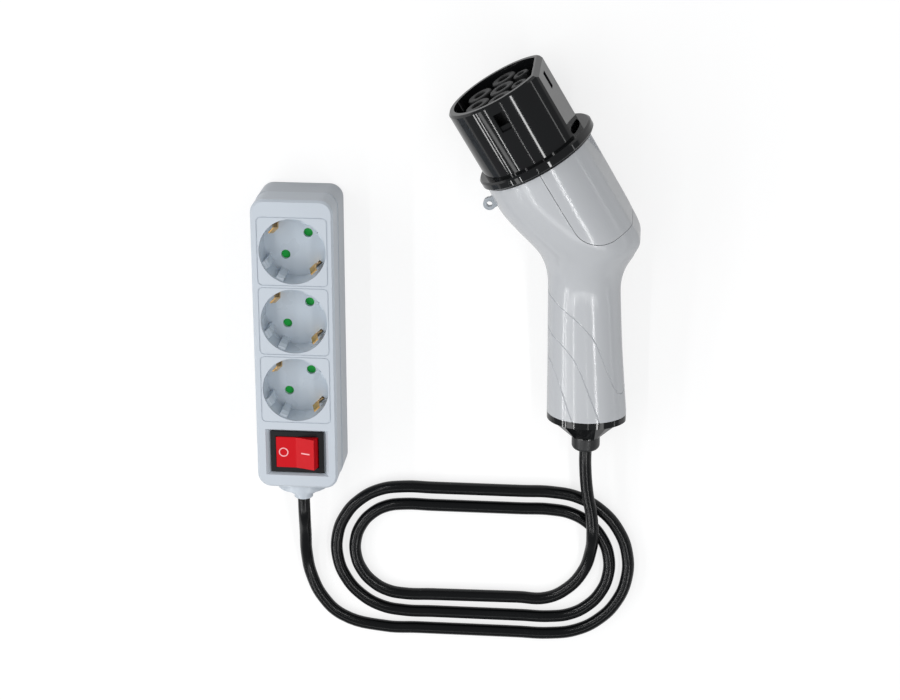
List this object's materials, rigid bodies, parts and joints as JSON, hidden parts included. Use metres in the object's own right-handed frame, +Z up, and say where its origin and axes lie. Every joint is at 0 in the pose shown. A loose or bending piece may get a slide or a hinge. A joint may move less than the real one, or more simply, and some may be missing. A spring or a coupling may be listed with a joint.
{
  "type": "vehicle-to-load adapter",
  "caption": "Vehicle-to-load adapter: charging-inlet connector with an angled handle, a looped cord, and a mains socket strip with a rocker switch.",
  "frame": {"origin": "centre of the footprint of the socket strip and the connector, on the surface they lie on", "axes": "+X from the socket strip to the connector, +Y from the cord side to the nose, +Z up from the surface"},
  "size_m": [0.2243, 0.3704, 0.071],
  "materials": {
    "strip_white": "satin moulded, faint blue-grey white",
    "strip_back_white": "satin moulded",
    "cup_white": "satin moulded",
    "shutter_green": "smooth",
    "clip_brass": "stamped strip",
    "carrier_cream": "moulded",
    "screw_steel": "zinc plated",
    "switch_black": "gloss",
    "rocker_red": "gloss, see-through tint",
    "cord_black": "smooth jacket",
    "nose_black": "polished",
    "block_grey": "matte",
    "block_black": "matte",
    "collar_black": "polished",
    "seal_black": "matte",
    "contact_metal": "silver plated",
    "board_green": "lacquered board",
    "shell_white": "polished",
    "lug_grey": "cloudy",
    "cap_black": "polished",
    "gland_black": "fine matte"
  },
  "bodies": {
    "adapter": {"strip_front_cover": "strip_white", "strip_back_cover": "strip_back_white", "strip_screws": "screw_steel", "strip_gland": "strip_white", "strip_cord_tail": "cord_black", "strip_cord_clamp": "carrier_cream", "strip_clamp_screws": "screw_steel", "socket_cup_1": "cup_white", "socket_cup_2": "cup_white", "socket_cup_3": "cup_white", "earth_clip_1": "clip_brass", "earth_clip_2": "clip_brass", "earth_clip_3": "clip_brass", "contact_carrier": "carrier_cream", "line_bar": "clip_brass", "neutral_bar": "clip_brass", "earth_bar": "clip_brass", "switch_housing": "switch_black", "switch_terminals": "clip_brass", "cord": "cord_black", "nose_shroud": "nose_black", "contact_block": "block_black", "sleeve_earth": "block_grey", "sleeve_neutral": "block_grey", "sleeve_line_1": "block_grey", "sleeve_line_2": "block_grey", "sleeve_line_3": "block_grey", "sleeve_pilot": "block_grey", "sleeve_proximity": "block_grey", "nose_collar": "collar_black", "collar_seal": "seal_black", "contact_earth": "contact_metal", "contact_neutral": "contact_metal", "contact_line_1": "contact_metal", "contact_line_2": "contact_metal", "contact_line_3": "contact_metal", "contact_pilot": "contact_metal", "contact_proximity": "contact_metal", "coding_resistor": "board_green", "gun_housing": "shell_white", "top_cover": "shell_white", "tether_lug": "lug_grey", "grip_end_cap": "cap_black", "grip_gland": "gland_black", "gun_cord_tail": "cord_black", "gun_cord_clamp": "block_black", "gun_clamp_screws": "screw_steel"},
    "rocker": {"switch_rocker": "rocker_red"},
    "shutter_plate_1": {"shutter_1": "shutter_green"},
    "shutter_plate_2": {"shutter_2": "shutter_green"},
    "shutter_plate_3": {"shutter_3": "shutter_green"}
  },
  "joints": [
    {"name": "rocker_press", "type": "hinge", "parent": "adapter", "child": "rocker", "pos_m": [-0.0871, -0.1006, 0.035], "axis": [0, 1, 0], "range_deg": [0, 18]},
    {"name": "shutter_turn_1", "type": "hinge", "parent": "adapter", "child": "shutter_plate_1", "pos_m": [-0.0871, 0.0235, 0.0187], "axis": [0, 0, 1], "range_deg": [0, 45], "stiffness_Nm_per_rad": 0.004},
    {"name": "shutter_turn_2", "type": "hinge", "parent": "adapter", "child": "shutter_plate_2", "pos_m": [-0.0871, -0.0187, 0.0187], "axis": [0, 0, 1], "range_deg": [0, 45], "stiffness_Nm_per_rad": 0.004},
    {"name": "shutter_turn_3", "type": "hinge", "parent": "adapter", "child": "shutter_plate_3", "pos_m": [-0.0871, -0.0609, 0.0187], "axis": [0, 0, 1], "range_deg": [0, 45], "stiffness_Nm_per_rad": 0.004}
  ]
}
